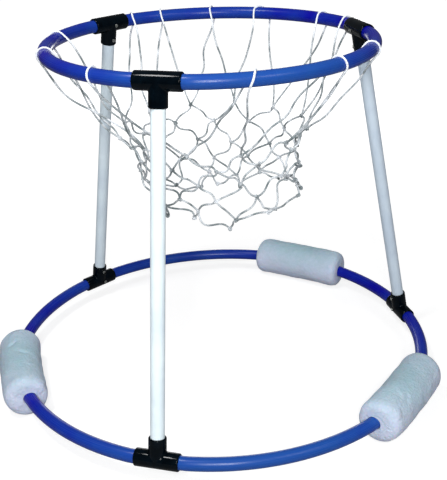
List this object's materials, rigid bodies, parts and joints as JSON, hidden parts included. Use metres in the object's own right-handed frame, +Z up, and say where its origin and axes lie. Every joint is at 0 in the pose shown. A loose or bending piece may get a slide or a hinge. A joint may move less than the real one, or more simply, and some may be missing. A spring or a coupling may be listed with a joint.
{
  "type": "floating basketball hoop",
  "caption": "Floating pool hoop: a small pipe ring with a knotted net held by splayed legs over a larger pipe ring that rests on sliding foam floats.",
  "frame": {"origin": "middle of the footprint, on the ground under the floats", "axes": "+Z up along the rings' axis, +Y away from the leg that stands in front"},
  "size_m": [0.9616, 0.9376, 0.7385],
  "materials": {
    "ring_blue": "gloss",
    "tee_black": "gloss",
    "leg_white": "satin",
    "float_foam": "matte",
    "screw_steel": "satin",
    "net_cord": "matte"
  },
  "bodies": {
    "frame": {"base_ring_left": "ring_blue", "base_ring_back": "ring_blue", "base_ring_right": "ring_blue", "top_ring_left": "ring_blue", "top_ring_back": "ring_blue", "top_ring_right": "ring_blue", "base_tee_front": "tee_black", "base_tee_back_right": "tee_black", "base_tee_back_left": "tee_black", "top_tee_front": "tee_black", "top_tee_back_right": "tee_black", "top_tee_back_left": "tee_black", "leg_front": "leg_white", "leg_back_right": "leg_white", "leg_back_left": "leg_white", "base_screw_front_1": "screw_steel", "base_screw_front_2": "screw_steel", "base_screw_front_3": "screw_steel", "base_screw_back_right_1": "screw_steel", "base_screw_back_right_2": "screw_steel", "base_screw_back_left_1": "screw_steel", "base_screw_back_left_2": "screw_steel", "top_screw_front_1": "screw_steel", "top_screw_front_2": "screw_steel", "top_screw_front_3": "screw_steel", "top_screw_back_right_1": "screw_steel", "top_screw_back_right_2": "screw_steel", "top_screw_back_left_1": "screw_steel", "top_screw_back_left_2": "screw_steel", "net": "net_cord"},
    "float_left": {"float_left": "float_foam"},
    "float_back": {"float_back": "float_foam"},
    "float_right": {"float_right": "float_foam"}
  },
  "joints": [
    {"name": "float_left_slide_round", "type": "hinge", "parent": "frame", "child": "float_left", "pos_m": [0.01773, -0.00627, 0.04543], "axis": [0, 0, 1], "range_deg": [-38.5, 38.5]},
    {"name": "float_back_slide_round", "type": "hinge", "parent": "frame", "child": "float_back", "pos_m": [0.01773, -0.00627, 0.04543], "axis": [0, 0, 1], "range_deg": [-24.5, 52.5]},
    {"name": "float_right_slide_round", "type": "hinge", "parent": "frame", "child": "float_right", "pos_m": [0.01773, -0.00627, 0.04543], "axis": [0, 0, 1], "range_deg": [-49.5, 27.5]}
  ]
}
